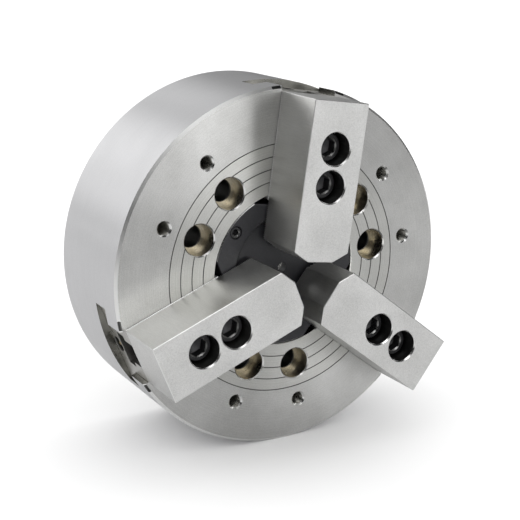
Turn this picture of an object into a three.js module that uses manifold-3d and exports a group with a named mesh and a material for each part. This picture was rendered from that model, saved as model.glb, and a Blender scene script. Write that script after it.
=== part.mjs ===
// Three-jaw wedge-hook power chuck with blank soft jaws, as separate pieces.
//
// Millimetres. The chuck's axis is Y: the rear mounting face lies at y = 0 and
// the front face looks towards -Y. +X is right and +Z is up for someone who
// faces the front. Each jaw is drawn along +X and turned to its place.
import * as THREE from 'three';
import { mergeVertices } from 'three/addons/utils/BufferGeometryUtils.js';
import Module from 'manifold-3d';

const wasm = await Module();
wasm.setup();

// ---------------------------------------------------------------- dimensions

const GAP = 0.3;                    // clearance between neighbouring pieces
const OVERLAP = 0.01;               // how far one cutter runs into the next
const BODY_FACETS = 60;             // flat facets round the body
const RING_FACETS = 40;             // round the cover, plug, plunger and draw nut
const HOLE_FACETS = 20;             // round the bolt holes
const SMALL_FACETS = 12;            // round the small screws and their holes

const BODY_RADIUS = 152;
const BODY_LENGTH = 114;
const FRONT = -BODY_LENGTH;         // y of the front face
const RIM_CHAMFER = 2.5;
const REAR_CHAMFER = 2;
const REGISTER_RADIUS = 110;        // locating recess in the rear face
const REGISTER_DEPTH = 6;
const JAW_COUNT = 3;
const FIRST_JAW_ANGLE = 82;         // degrees from +X towards +Z
const SLOT_START = 20;              // axis to the inner end of the T-slots' cutters
const POCKET_START = 30;            // the same for the pockets of the wedge hooks
const PAST = 8;                     // how far a cutter runs out past the rim

const COVER_RADIUS = 65;
const COVER_LENGTH = 25;            // flange of the centre cover
const COVER_FLAT = 53.3;            // axis to the flat that faces each jaw
const SLEEVE_RADIUS = 49.5;
const SLEEVE_BORE = 43.5;
const SLEEVE_END = -54.5;           // clear of the draw nut at its front limit
const PLUG_RADIUS = 45.2;
const PLUG_LENGTH = 8;
const PLUG_DEPTH = 4.5;             // plug's face behind the front face
const PLUG_HOLE = 4;
const COVER_RECESS = 0.5;           // cover's face behind the front face
const COVER_BORE_CHAMFER = 1.5;
const COVER_SCREW_CIRCLE = 58;
const COVER_SCREW_RECESS = 1.2;     // top of the screw behind the front face
const COVER_SCREW_REACH = 12;       // screw hole's depth in the body's web
const COVER_SCREW = { head: 5, headLength: 6, shank: 3, length: 27, hex: 5, hexDepth: 3 };

const NECK_WIDTH = 50;              // master jaw between the slot's lips
const NECK_DEPTH = 25;
const WING_WIDTH = 76;              // master jaw under the slot's lips
const WING_DEPTH = 44;
const MASTER_START = 57;
const JAW_END = 145.5;              // outer ends of master and top jaws
const TOOTH_PITCH = 1.5;
const TOOTH_DEPTH = 1.1;
const TOOTH_ROOT = 0.3;             // root line behind the front face

const NUT_TOP = 1.5;                // top of the T-nut behind the front face
const NUT_NECK = 21;
const NUT_WIDTH = 30;
const NUT_SHOULDER = 14;            // depth where the nut slot widens
const NUT_FLOOR = 27;
const NUT_SLOT_START = 62;
const NUT_START = 65;
const NUT_END = 121;

const TOP_JAW_START = 17.5;
const TOP_JAW_HEIGHT = 51;          // above the front face
const TOP_JAW_WIDTH = 50;
const TIP_WIDTH = 23;
const TIP_LENGTH = 7.7;             // radial length of the slanted tip faces
const BOLT_RADII = [78, 108];       // places of the two jaw bolts
const BOLT_COUNTERBORE = 13.1;
const BOLT_SEAT = 21.5;             // seat of the bolt head above the front face
const BOLT = { head: 12, headLength: 16, shank: 7.9, length: 45, hex: 14, hexDepth: 9 };

const MOUNT_CIRCLE = 85.7;          // six fixing holes
const MOUNT_COUNTERBORE = 13.1;
const MOUNT_SEAT = 17;
const MOUNT_HOLE = 9;
const TAPPED_CIRCLE = 119;          // six tapped holes near the rim
const TAPPED_HOLE = 5.1;
const TAPPED_DEPTH = 22;
const HOLE_OFFSET = 15;             // degrees either side of mid-jaw
const HOLE_CHAMFER = 0.8;

const PLUNGER_RADIUS = 73.5;
const PLUNGER_FRONT = -58.2;
const PLUNGER_REAR = -17.5;
const PLUNGER_BORE = 49.8;
const CAVITY_FRONT = -71;
const WEDGE_ANGLE = 13;             // degrees between ramp and axis
const RAMP_RADIUS = 71;             // axis to the ramp at y = RAMP_CENTRE
const RAMP_CENTRE = -38;
const RAMP_WIDTH = 72;
const LIP = 5.4;                    // plunger lip that the jaw hook grips
const HOOK_SLOT_DEPTH = 11;
const HOOK_STEM = 18;
const HOOK_HEAD = 30;
const HOOK_FRONT = -52;
const HOOK_REAR = -24;
const CARRIER_WIDTH = 40;
const CARRIER_END = 86;
const CARRIER_REAR = -20;
const JAW_STROKE = 2.65;            // each way from the drawn position

const DRAW_NUT_RADIUS = 57;
const DRAW_NUT_BORE = 50.2;
const DRAW_NUT_FRONT = -41.7;
const DRAW_NUT_REAR = -23.3;
const RETAINER_REAR = -18;
const RETAINER_BORE = 52.5;
const NOTCH = { count: 4, width: 8, depth: 3.5, length: 6 };
const SPANNER_SLOT = { count: 4, width: 6, length: 2.5 };

const NIPPLE_RECESS = 6.6;
const NIPPLE_DEPTH = 35.8;          // nipple's axis behind the front face
const NIPPLE_FLOOR = 137.5;

// ----------------------------------------------------------------- materials

const turnedSteel = new THREE.MeshStandardMaterial({ color: 0xb9bab8, roughness: 0.34, metalness: 1 });
const hardenedSteel = new THREE.MeshStandardMaterial({ color: 0x9c9c98, roughness: 0.38, metalness: 1 });
const milledSteel = new THREE.MeshStandardMaterial({ color: 0xc4c4c1, roughness: 0.4, metalness: 1 });
const blackOxide = new THREE.MeshStandardMaterial({ color: 0x1c1d20, roughness: 0.48, metalness: 0.6 });
const wedgeSteel = new THREE.MeshStandardMaterial({ color: 0x86878a, roughness: 0.42, metalness: 1 });
const brass = new THREE.MeshStandardMaterial({ color: 0xb08d4f, roughness: 0.35, metalness: 1 });

// ------------------------------------------------------------ solid building

/** Turn a closed three.js geometry into a solid that can be joined and cut. */
function solid(geometry) {
  const bare = geometry.clone();
  bare.deleteAttribute('normal');
  bare.deleteAttribute('uv');
  const merged = mergeVertices(bare, 1e-4);
  const corners = merged.index.array;
  const place = merged.getAttribute('position');
  const kept = [];
  let volume = 0;
  const [a, b, c] = [new THREE.Vector3(), new THREE.Vector3(), new THREE.Vector3()];
  for (let i = 0; i < corners.length; i += 3) {
    const [p, q, r] = [corners[i], corners[i + 1], corners[i + 2]];
    if (p === q || q === r || r === p) continue;
    kept.push(p, q, r);
    a.fromBufferAttribute(place, p);
    b.fromBufferAttribute(place, q);
    c.fromBufferAttribute(place, r);
    volume += a.dot(b.cross(c));
  }
  if (volume < 0) {
    for (let i = 0; i < kept.length; i += 3) {
      [kept[i], kept[i + 1]] = [kept[i + 1], kept[i]];
    }
  }
  return new wasm.Manifold(new wasm.Mesh({
    numProp: 3,
    vertProperties: new Float32Array(place.array),
    triVerts: new Uint32Array(kept),
  }));
}

/** Make a plain geometry out of a finished solid. */
function geometryOf(shape) {
  const mesh = shape.getMesh();
  const geometry = new THREE.BufferGeometry();
  geometry.setAttribute('position', new THREE.BufferAttribute(mesh.vertProperties, 3));
  geometry.setIndex(new THREE.BufferAttribute(mesh.triVerts, 1));
  geometry.computeVertexNormals();
  return geometry;
}

/** A ring or disc: the closed outline of [radius, y] points turned about Y. */
function turned(outline, segments) {
  const points = [...outline, outline[0]].map(([radius, y]) => new THREE.Vector2(radius, y));
  return solid(new THREE.LatheGeometry(points, segments));
}

/** A cylinder along Y between two heights, with its axis at (x, z). */
function rod(radius, low, high, x = 0, z = 0, segments = HOLE_FACETS) {
  const geometry = new THREE.CylinderGeometry(radius, radius, high - low, segments);
  return solid(geometry.translate(x, (low + high) / 2, z));
}

/** A cone frustum along Y, used for chamfers at the mouth of a hole. */
function cone(lowRadius, highRadius, low, high, x, z, segments = HOLE_FACETS) {
  const geometry = new THREE.CylinderGeometry(highRadius, lowRadius, high - low, segments);
  return solid(geometry.translate(x, (low + high) / 2, z));
}

/** A box given by its limits. Across the slot it is centred on z = 0. */
function block(x0, x1, y0, y1, width) {
  const geometry = new THREE.BoxGeometry(x1 - x0, y1 - y0, width);
  return solid(geometry.translate((x0 + x1) / 2, (y0 + y1) / 2, 0));
}

/** A side outline of [x, y] points, given its width along Z. */
function slab(outline, width) {
  const shape = new THREE.Shape(outline.map(([x, y]) => new THREE.Vector2(x, y)));
  const geometry = new THREE.ExtrudeGeometry(shape, { depth: width, bevelEnabled: false });
  return solid(geometry.translate(0, 0, -width / 2));
}

/** A plan outline of [x, z] points, given its height from low to high along Y. */
function plate(outline, low, high) {
  const shape = new THREE.Shape(outline.map(([x, z]) => new THREE.Vector2(x, z)));
  const geometry = new THREE.ExtrudeGeometry(shape, { depth: high - low, bevelEnabled: false });
  return solid(geometry.rotateX(Math.PI / 2).translate(0, high, 0));
}

/** Cut several tools out of a solid, one after another. */
function cutAll(shape, tools) {
  return tools.reduce((rest, tool) => rest.subtract(tool), shape);
}

const radians = (degrees) => THREE.MathUtils.degToRad(degrees);

const jawAngles = Array.from({ length: JAW_COUNT }, (_, i) => FIRST_JAW_ANGLE + (i * 360) / JAW_COUNT);
const gapAngles = jawAngles.map((angle) => angle + 180 / JAW_COUNT);
const holeAngles = gapAngles.flatMap((angle) => [angle - HOLE_OFFSET, angle + HOLE_OFFSET]);

/** Turn a solid that is drawn along +X to an angle about the chuck's axis. */
const turnTo = (shape, angle) => shape.rotate([0, -angle, 0]);

/** The [x, z] place at a radius and an angle. */
const around = (radius, angle) => [radius * Math.cos(radians(angle)), radius * Math.sin(radians(angle))];

/** Distance from the axis to the plunger's ramp at a height y. */
const ramp = (y) => RAMP_RADIUS + Math.tan(radians(WEDGE_ANGLE)) * (y - RAMP_CENTRE);

/** A bar that follows the ramp, from one offset to another, outwards positive. */
function rampBar(inner, outer, low, high, width) {
  return slab([
    [ramp(low) + inner, low],
    [ramp(low) + outer, low],
    [ramp(high) + outer, high],
    [ramp(high) + inner, high],
  ], width);
}

/** Serration: a zigzag of [x, y] points, crests in the middle of each pitch. */
function teeth(start, end, rootY) {
  const count = Math.round((end - start) / TOOTH_PITCH);
  const line = [[start, rootY]];
  for (let i = 0; i < count; i += 1) {
    line.push([start + (i + 0.5) * TOOTH_PITCH, rootY - TOOTH_DEPTH]);
    line.push([start + (i + 1) * TOOTH_PITCH, rootY]);
  }
  return line;
}

/** A socket head cap screw along Y. The top of its head is at y = 0. */
function capScrew({ head, headLength, shank, length, hex, hexDepth }, segments) {
  const bevel = head * 0.08;
  const outline = [
    [0, 0],
    [head - bevel, 0],
    [head, bevel],
    [head, headLength],
    [shank, headLength],
    [shank, headLength + length - bevel],
    [shank - bevel, headLength + length],
    [0, headLength + length],
  ];
  const across = hex / Math.sqrt(3);
  const socket = rod(across, -1, hexDepth, 0, 0, 6);
  return turned(outline, segments).subtract(socket);
}

// --------------------------------------------------------------- the pieces

/** The body: a thick disc with three T-slots, holes and the plunger's cavity. */
function chuckBody() {
  const bore = COVER_RADIUS + GAP;
  const webRear = CAVITY_FRONT;
  const webFront = FRONT + NECK_DEPTH;
  const cavity = PLUNGER_RADIUS + GAP;
  let body = turned([
    [bore, FRONT],
    [BODY_RADIUS - RIM_CHAMFER, FRONT],
    [BODY_RADIUS, FRONT + RIM_CHAMFER],
    [BODY_RADIUS, -REAR_CHAMFER],
    [BODY_RADIUS - REAR_CHAMFER, 0],
    [REGISTER_RADIUS, 0],
    [REGISTER_RADIUS, -REGISTER_DEPTH],
    [cavity, -REGISTER_DEPTH],
    [cavity, webRear],
    [PLUNGER_BORE, webRear],
    [PLUNGER_BORE, webFront],
    [bore, webFront],
  ], BODY_FACETS);
  for (const angle of jawAngles) {
    const past = BODY_RADIUS + PAST;
    const pocketEnd = CARRIER_END + JAW_STROKE + 1;
    const slots = [
      block(SLOT_START, past, FRONT - 1, FRONT + NECK_DEPTH + OVERLAP, NECK_WIDTH + 2 * GAP),
      block(SLOT_START, past, FRONT + NECK_DEPTH, FRONT + WING_DEPTH, WING_WIDTH + 2 * GAP),
      block(POCKET_START, pocketEnd, FRONT + WING_DEPTH - OVERLAP, CARRIER_REAR + 3, CARRIER_WIDTH + 1),
    ];
    body = cutAll(body, slots.map((tool) => turnTo(tool, angle)));
  }
  for (const angle of holeAngles) {
    const [x, z] = around(MOUNT_CIRCLE, angle);
    const [u, v] = around(TAPPED_CIRCLE, angle);
    body = cutAll(body, [
      rod(MOUNT_COUNTERBORE, FRONT - 1, FRONT + MOUNT_SEAT, x, z),
      rod(MOUNT_HOLE, FRONT, 1, x, z),
      rod(TAPPED_HOLE, FRONT - 1, FRONT + TAPPED_DEPTH, u, v, SMALL_FACETS),
      cone(TAPPED_HOLE + 2 * HOLE_CHAMFER, TAPPED_HOLE,
        FRONT - HOLE_CHAMFER, FRONT + HOLE_CHAMFER, u, v, SMALL_FACETS),
    ]);
  }
  for (const angle of gapAngles) {
    const [x, z] = around(COVER_SCREW_CIRCLE, angle);
    const screwEnd = webFront + COVER_SCREW_REACH;
    body = body.subtract(rod(COVER_SCREW.shank + GAP, FRONT, screwEnd, x, z, SMALL_FACETS));
  }
  return body;
}

/** The black cover: a flanged sleeve with a flat cut away in front of each jaw. */
function centreCover() {
  const face = FRONT + COVER_RECESS;
  const back = FRONT + COVER_LENGTH - GAP;
  const seat = FRONT + PLUG_DEPTH + PLUG_LENGTH + GAP;
  const bore = PLUG_RADIUS + GAP;
  let cover = turned([
    [bore + COVER_BORE_CHAMFER, face],
    [COVER_RADIUS - 0.5, face],
    [COVER_RADIUS, face + 0.5],
    [COVER_RADIUS, back],
    [SLEEVE_RADIUS, back],
    [SLEEVE_RADIUS, SLEEVE_END],
    [SLEEVE_BORE, SLEEVE_END],
    [SLEEVE_BORE, seat],
    [bore, seat],
    [bore, face + COVER_BORE_CHAMFER],
  ], RING_FACETS);
  for (const angle of jawAngles) {
    const flat = block(COVER_FLAT, COVER_RADIUS + 5, FRONT - 1, back + 1, 2 * COVER_RADIUS);
    cover = cover.subtract(turnTo(flat, angle));
  }
  for (const angle of gapAngles) {
    const [x, z] = around(COVER_SCREW_CIRCLE, angle);
    cover = cutAll(cover, [
      rod(COVER_SCREW.head + GAP, FRONT - 1, face + COVER_SCREW.headLength + 1, x, z, SMALL_FACETS),
      rod(COVER_SCREW.shank + GAP, FRONT, back + 1, x, z, SMALL_FACETS),
    ]);
  }
  return cover;
}

/** The plug that closes the through-hole, with a small tapped hole to pull it. */
function blankingPlug() {
  const face = FRONT + PLUG_DEPTH;
  return turned([
    [PLUG_HOLE, face],
    [PLUG_RADIUS - 0.8, face],
    [PLUG_RADIUS, face + 0.8],
    [PLUG_RADIUS, face + PLUG_LENGTH],
    [PLUG_HOLE, face + PLUG_LENGTH],
  ], RING_FACETS);
}

/** The wedge plunger: a sliding ring with an inclined T-slot facing each jaw. */
function wedgePlunger() {
  const nutBore = DRAW_NUT_RADIUS + GAP;
  const step = DRAW_NUT_FRONT - GAP;
  let plunger = turned([
    [PLUNGER_BORE, PLUNGER_FRONT],
    [PLUNGER_RADIUS - 1, PLUNGER_FRONT],
    [PLUNGER_RADIUS, PLUNGER_FRONT + 1],
    [PLUNGER_RADIUS, PLUNGER_REAR - 1],
    [PLUNGER_RADIUS - 1, PLUNGER_REAR],
    [nutBore, PLUNGER_REAR],
    [nutBore, step],
    [PLUNGER_BORE, step],
  ], RING_FACETS);
  const low = PLUNGER_FRONT - 2;
  const high = PLUNGER_REAR + 2;
  for (const angle of jawAngles) {
    const tools = [
      rampBar(0, 30, low, high, RAMP_WIDTH),
      rampBar(-LIP - OVERLAP, 1, low, high, HOOK_STEM + 2 * GAP),
      rampBar(-HOOK_SLOT_DEPTH, -LIP, low, high, HOOK_HEAD + 2 * GAP),
    ];
    plunger = cutAll(plunger, tools.map((tool) => turnTo(tool, angle)));
  }
  return plunger;
}

/** The draw nut: it turns in the plunger and takes the thread of the draw tube. */
function drawNut() {
  let nut = turned([
    [DRAW_NUT_BORE, DRAW_NUT_FRONT],
    [DRAW_NUT_RADIUS - 0.5, DRAW_NUT_FRONT],
    [DRAW_NUT_RADIUS, DRAW_NUT_FRONT + 0.5],
    [DRAW_NUT_RADIUS, DRAW_NUT_REAR],
    [DRAW_NUT_BORE + 1, DRAW_NUT_REAR],
    [DRAW_NUT_BORE, DRAW_NUT_REAR - 1],
  ], RING_FACETS);
  const notch = block(DRAW_NUT_BORE - 5, DRAW_NUT_BORE + NOTCH.depth,
    DRAW_NUT_FRONT - 1, DRAW_NUT_FRONT + NOTCH.length, NOTCH.width);
  for (let i = 0; i < NOTCH.count; i += 1) {
    nut = nut.subtract(turnTo(notch, (i * 360) / NOTCH.count));
  }
  return nut;
}

/** The ring behind the draw nut, with four spanner slots. */
function nutRetainer() {
  const front = DRAW_NUT_REAR + GAP;
  let ring = turned([
    [RETAINER_BORE, front],
    [DRAW_NUT_RADIUS, front],
    [DRAW_NUT_RADIUS, RETAINER_REAR],
    [RETAINER_BORE, RETAINER_REAR],
  ], RING_FACETS);
  const slot = block(RETAINER_BORE - 5, DRAW_NUT_RADIUS + 5,
    RETAINER_REAR - SPANNER_SLOT.length, RETAINER_REAR + 1, SPANNER_SLOT.width);
  for (let i = 0; i < SPANNER_SLOT.count; i += 1) {
    ring = ring.subtract(turnTo(slot, ((i + 0.5) * 360) / SPANNER_SLOT.count));
  }
  return ring;
}

/** A master jaw: serrated guide, nut slot, and the hook that rides the ramp. */
function masterJaw() {
  const rootY = FRONT + TOOTH_ROOT;
  const neckFloor = FRONT + NECK_DEPTH + GAP;
  const wingFloor = FRONT + WING_DEPTH - GAP;
  const overlap = wingFloor - 5;
  const neck = slab([
    ...teeth(MASTER_START, JAW_END, rootY),
    [JAW_END, neckFloor + 1],
    [MASTER_START, neckFloor + 1],
  ], NECK_WIDTH - 2 * GAP);
  const wings = block(MASTER_START, JAW_END, neckFloor, wingFloor, WING_WIDTH - 2 * GAP);
  const carrier = slab([
    [ramp(overlap) + GAP, overlap],
    [CARRIER_END, overlap],
    [CARRIER_END, CARRIER_REAR],
    [ramp(CARRIER_REAR) + GAP, CARRIER_REAR],
  ], CARRIER_WIDTH);
  const stem = rampBar(-LIP - 2 * GAP, 1, HOOK_FRONT, HOOK_REAR, HOOK_STEM);
  const head = rampBar(-HOOK_SLOT_DEPTH + GAP, -LIP - GAP, HOOK_FRONT, HOOK_REAR, HOOK_HEAD);
  const past = JAW_END + 1;
  const nutNeck = block(NUT_SLOT_START, past, FRONT - 2, FRONT + NUT_SHOULDER + OVERLAP, NUT_NECK);
  const nutRoom = block(NUT_SLOT_START, past, FRONT + NUT_SHOULDER, FRONT + NUT_FLOOR, NUT_WIDTH);
  const recess = new THREE.CylinderGeometry(NIPPLE_RECESS, NIPPLE_RECESS, past - NIPPLE_FLOOR, SMALL_FACETS);
  recess.rotateZ(Math.PI / 2).translate((past + NIPPLE_FLOOR) / 2, FRONT + NIPPLE_DEPTH, 0);
  const whole = [wings, carrier, stem, head].reduce((sum, piece) => sum.add(piece), neck);
  return cutAll(whole, [nutNeck, nutRoom, solid(recess)]);
}

/** The T-nut under a top jaw, with two tapped holes. */
function jawNut() {
  const foot = block(NUT_START, NUT_END, FRONT + NUT_SHOULDER + GAP,
    FRONT + NUT_FLOOR - GAP, NUT_WIDTH - 2 * GAP);
  const neck = block(NUT_START, NUT_END, FRONT + NUT_TOP, FRONT + NUT_SHOULDER + 1, NUT_NECK - 2 * GAP);
  const holes = BOLT_RADII.map((x) => rod(BOLT.shank + GAP, FRONT, FRONT + NUT_FLOOR + 1, x, 0));
  return cutAll(foot.add(neck), holes);
}

/** A blank soft jaw: a serrated block with a pointed tip and two counterbores. */
function topJaw() {
  const top = FRONT - TOP_JAW_HEIGHT;
  const toothStart = TOOTH_PITCH * Math.ceil(TOP_JAW_START / TOOTH_PITCH);
  const side = slab([
    [TOP_JAW_START, top],
    [TOP_JAW_START, FRONT + TOOTH_ROOT - GAP],
    ...teeth(toothStart, JAW_END, FRONT + TOOTH_ROOT - GAP),
    [JAW_END, top],
  ], TOP_JAW_WIDTH);
  const half = TOP_JAW_WIDTH / 2;
  const plan = plate([
    [TOP_JAW_START, -TIP_WIDTH / 2],
    [TOP_JAW_START + TIP_LENGTH, -half - 0.001],
    [JAW_END + 1, -half - 0.001],
    [JAW_END + 1, half + 0.001],
    [TOP_JAW_START + TIP_LENGTH, half + 0.001],
    [TOP_JAW_START, TIP_WIDTH / 2],
  ], top - 1, FRONT + 2);
  const holes = BOLT_RADII.flatMap((x) => [
    rod(BOLT_COUNTERBORE, top - 1, FRONT - BOLT_SEAT, x, 0),
    rod(BOLT.shank + 1, FRONT - BOLT_SEAT - 1, FRONT + 2, x, 0),
  ]);
  return cutAll(side.intersect(plan), holes);
}

/** A ball-ended grease nipple along Y, with its base at y = 0. */
function greaseNipple() {
  return turned([
    [0, 0],
    [3.4, 0],
    [3.4, 2.4],
    [2, 3],
    [2, 4.2],
    [2.7, 5],
    [2.5, 6],
    [1.3, 7],
    [0, 7],
  ], 10);
}

// -------------------------------------------------------------- the assembly

const chuck = new THREE.Group();

/** Put a named piece into a group and return it, so that it can be placed. */
function addPiece(group, name, geometry, material) {
  const mesh = new THREE.Mesh(geometry, material);
  mesh.name = name;
  group.add(mesh);
  return mesh;
}

addPiece(chuck, 'chuck_body', geometryOf(chuckBody()), turnedSteel);
addPiece(chuck, 'centre_cover', geometryOf(centreCover()), blackOxide);
addPiece(chuck, 'blanking_plug', geometryOf(blankingPlug()), blackOxide);
addPiece(chuck, 'wedge_plunger', geometryOf(wedgePlunger()), wedgeSteel);
addPiece(chuck, 'draw_nut', geometryOf(drawNut()), hardenedSteel);
addPiece(chuck, 'nut_retainer', geometryOf(nutRetainer()), blackOxide);

const coverScrew = geometryOf(capScrew(COVER_SCREW, SMALL_FACETS));
gapAngles.forEach((angle, i) => {
  const screw = addPiece(chuck, `cover_screw_${i + 1}`, coverScrew, blackOxide);
  const [x, z] = around(COVER_SCREW_CIRCLE, angle);
  screw.position.set(x, FRONT + COVER_SCREW_RECESS, z);
});

const jawPieces = {
  master: geometryOf(masterJaw()),
  nut: geometryOf(jawNut()),
  top: geometryOf(topJaw()),
  bolt: geometryOf(capScrew(BOLT, HOLE_FACETS)),
  nipple: geometryOf(greaseNipple()),
};

jawAngles.forEach((angle, i) => {
  const jaw = new THREE.Group();
  jaw.rotation.y = -radians(angle);
  chuck.add(jaw);
  const number = i + 1;
  addPiece(jaw, `master_jaw_${number}`, jawPieces.master, hardenedSteel);
  addPiece(jaw, `jaw_nut_${number}`, jawPieces.nut, blackOxide);
  addPiece(jaw, `top_jaw_${number}`, jawPieces.top, milledSteel);
  BOLT_RADII.forEach((radius, j) => {
    const bolt = addPiece(jaw, `jaw_bolt_${number}_${j + 1}`, jawPieces.bolt, blackOxide);
    bolt.position.set(radius, FRONT - BOLT_SEAT - GAP - BOLT.headLength, 0);
  });
  const nipple = addPiece(jaw, `grease_nipple_${number}`, jawPieces.nipple, brass);
  nipple.position.set(NIPPLE_FLOOR + GAP, FRONT + NIPPLE_DEPTH, 0);
  nipple.rotation.z = -Math.PI / 2;
});

export default chuck;
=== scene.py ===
# %% [markdown]
# # A three-jaw power chuck
#
# This lesson dresses the CAD model of a lathe chuck. The CAD pieces fix every
# size and every motion, but they are made of coarse flat facets. Here each one
# gets a fine skin with the chamfers, grooves, threads and serrations that a
# machinist would cut, and a finish: turned, ground, milled or blackened steel.
# All shapes are worked out in millimetres and turned into metres at the end.

import math

import bmesh
import bpy
import numpy as np
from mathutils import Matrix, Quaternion, Vector


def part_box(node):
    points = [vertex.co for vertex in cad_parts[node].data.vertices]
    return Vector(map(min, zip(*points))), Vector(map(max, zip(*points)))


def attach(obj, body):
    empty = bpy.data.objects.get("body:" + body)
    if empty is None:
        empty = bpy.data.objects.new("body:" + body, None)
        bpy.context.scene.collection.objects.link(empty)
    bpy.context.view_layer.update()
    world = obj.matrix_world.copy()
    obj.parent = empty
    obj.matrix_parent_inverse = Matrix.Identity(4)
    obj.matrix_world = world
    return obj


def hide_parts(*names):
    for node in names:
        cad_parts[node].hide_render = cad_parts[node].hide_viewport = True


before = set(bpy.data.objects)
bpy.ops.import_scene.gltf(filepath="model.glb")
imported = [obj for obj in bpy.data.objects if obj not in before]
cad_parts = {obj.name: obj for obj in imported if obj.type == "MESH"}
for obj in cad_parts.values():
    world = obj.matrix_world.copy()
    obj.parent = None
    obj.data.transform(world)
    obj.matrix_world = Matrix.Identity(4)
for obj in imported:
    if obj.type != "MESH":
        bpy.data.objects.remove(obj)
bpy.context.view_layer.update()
MM = 0.001

body_low, body_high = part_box("chuck_body")
RADIUS = round(body_high.x / MM, 3)
FRONT = round(body_low.y / MM, 3)
print("frame:", len(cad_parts), "nodes, body radius", RADIUS, "mm, front face at", FRONT)

# %% [markdown]
# ## Sizes
#
# The chuck's axis is Y, with the front face looking along -Y. A jaw is drawn
# along +X and then turned about the axis, so that one drawing serves all three.
# The names follow the CAD model, and so do most values. A few are finer here,
# such as the chamfers and the fit of the jaws in their slots. What the CAD
# model leaves out, such as the grooves in the face, gets a name of its own.

# %% Sizes, in millimetres and degrees
GAP = 0.3
SLIDING_FIT = 0.08
JAW_ANGLES = [82, 202, 322]
GAP_ANGLES = [angle + 60 for angle in JAW_ANGLES]
HOLE_ANGLES = [angle + side * 15 for angle in GAP_ANGLES for side in (-1, 1)]

RIM_CHAMFER = 2.2
REAR_CHAMFER = 2
BORE_CHAMFER = 0.7
RECESS_CHAMFER = 0.8
GROOVE_RADII = [76, 86, 96, 106]
GROOVE_WIDTH = 0.9
GROOVE_DEPTH = 0.5
GROOVE_FLOOR = 0.6      # share of the groove's width that is flat
REGISTER_RADIUS = 110
REGISTER_DEPTH = 6
CAVITY_RADIUS = 73.8
CAVITY_FRONT = -71
COVER_RADIUS = 65
COVER_LENGTH = 25
COVER_FLAT = 53.3
SLEEVE_RADIUS = 49.5
SLEEVE_BORE = 43.5
SLEEVE_END = -54.5
PLUG_RADIUS = 45.2
PLUG_DEPTH = 4.5
PLUG_LENGTH = 8
COVER_SCREW_CIRCLE = 58
COVER_SCREW_HOLE = 3.3
COVER_SCREW_HEAD_HOLE = 5.3
COVER_SCREW_SEAT = 7.5

MOUNT_CIRCLE = 85.7
MOUNT_COUNTERBORE = 13
MOUNT_SEAT = 17
MOUNT_HOLE = 9
TAPPED_CIRCLE = 119
TAPPED_DEPTH = 22
HOLE_CHAMFER = 1.0
BEYOND = 1              # how far a cutter reaches past the face it cuts

NECK = 25
NECK_DEPTH = 25
WING = 38
WING_DEPTH = 44
MASTER_START = 57
JAW_END = 145.5
TOOTH_PITCH = 1.5
TOOTH_DEPTH = 1.1
TOOTH_ROOT = 0.3
TOOTH_RELIEF = 1.0
NUT_NECK = 10.5
NUT_HALF = 15
NUT_SHOULDER = 14
NUT_FLOOR = 27
NUT_SLOT_START = 62
NUT_START = 65
NUT_END = 121
TOP_JAW_START = 17.5
TOP_JAW_HEIGHT = 51
TIP_HALF = 11.5
TIP_LENGTH = 7.7
NIPPLE_RECESS = 6.6
NIPPLE_PLACE = FRONT + 35.8
BOLT_RADII = [78, 108]
BOLT_COUNTERBORE = 13
BOLT_HOLE = 9
BOLT_SEAT = 21.5
EDGE = 0.5
JAW_CORNER = 0.8

# %% [markdown]
# ## Tools for making surfaces
#
# Nearly every piece of a chuck is either turned on a lathe or milled to an
# outline. Both are a grid of points: rows of points that follow one another,
# and columns that run round the row. One function turns such a grid into a
# closed skin, and the others only work out the grid. Modelling by hand with
# extrude and spin would give the same result, but a grid of numbers is exact
# and easy to change.

# %% From a grid of points to a closed mesh
def skin(name, rows, loop=False):
    """A closed surface over a grid. Point (i, j) is rows[i, j], and j runs round.

    Each quad joins (i, j), (i, j + 1), (i + 1, j + 1) and (i + 1, j). With loop,
    the last row meets the first, as in a ring. Otherwise a flat face closes each end.
    """
    count, around = rows.shape[:2]
    index = np.arange(count * around).reshape(count, around)
    here = index if loop else index[:-1]
    ahead = np.roll(index, -1, axis=0) if loop else index[1:]
    quads = np.stack([here, np.roll(here, -1, 1), np.roll(ahead, -1, 1), ahead], axis=-1)
    faces = quads.reshape(-1, 4).tolist()
    if not loop:
        faces += [index[0, ::-1].tolist(), index[-1].tolist()]
    mesh = bpy.data.meshes.new(name)
    mesh.from_pydata((rows.reshape(-1, 3) * MM).tolist(), [], faces)
    turn_outwards(mesh)
    piece = bpy.data.objects.new(name, mesh)
    bpy.context.scene.collection.objects.link(piece)
    return piece


def turn_outwards(mesh):
    """Make all faces of a closed mesh point out of it."""
    work = bmesh.new()
    work.from_mesh(mesh)
    bmesh.ops.recalc_face_normals(work, faces=work.faces)
    work.to_mesh(mesh)
    work.free()


# %% Shapes that are turned on a lathe
def angles(steps):
    return np.linspace(0, 2 * np.pi, steps, endpoint=False)


def lathe_rows(outline, steps):
    """Rows for a turned shape: the point (radius, y) goes to (radius cos t, y, radius sin t)."""
    outline = np.asarray(outline, float)
    turn = angles(steps)
    radius, height = outline[:, :1], outline[:, 1:2]
    return np.stack([radius * np.cos(turn), height + 0 * turn, radius * np.sin(turn)], axis=-1)


def turned(name, outline, steps=96, at=(0, 0), loop=False):
    """A shape turned about an axis along Y that passes through at = (x, z)."""
    rows = lathe_rows(outline, steps)
    return skin(name, rows + np.array([at[0], 0, at[1]]), loop)


def around(radius, angle):
    """The (x, z) place at a radius and an angle from +X towards +Z."""
    return radius * math.cos(math.radians(angle)), radius * math.sin(math.radians(angle))


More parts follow.
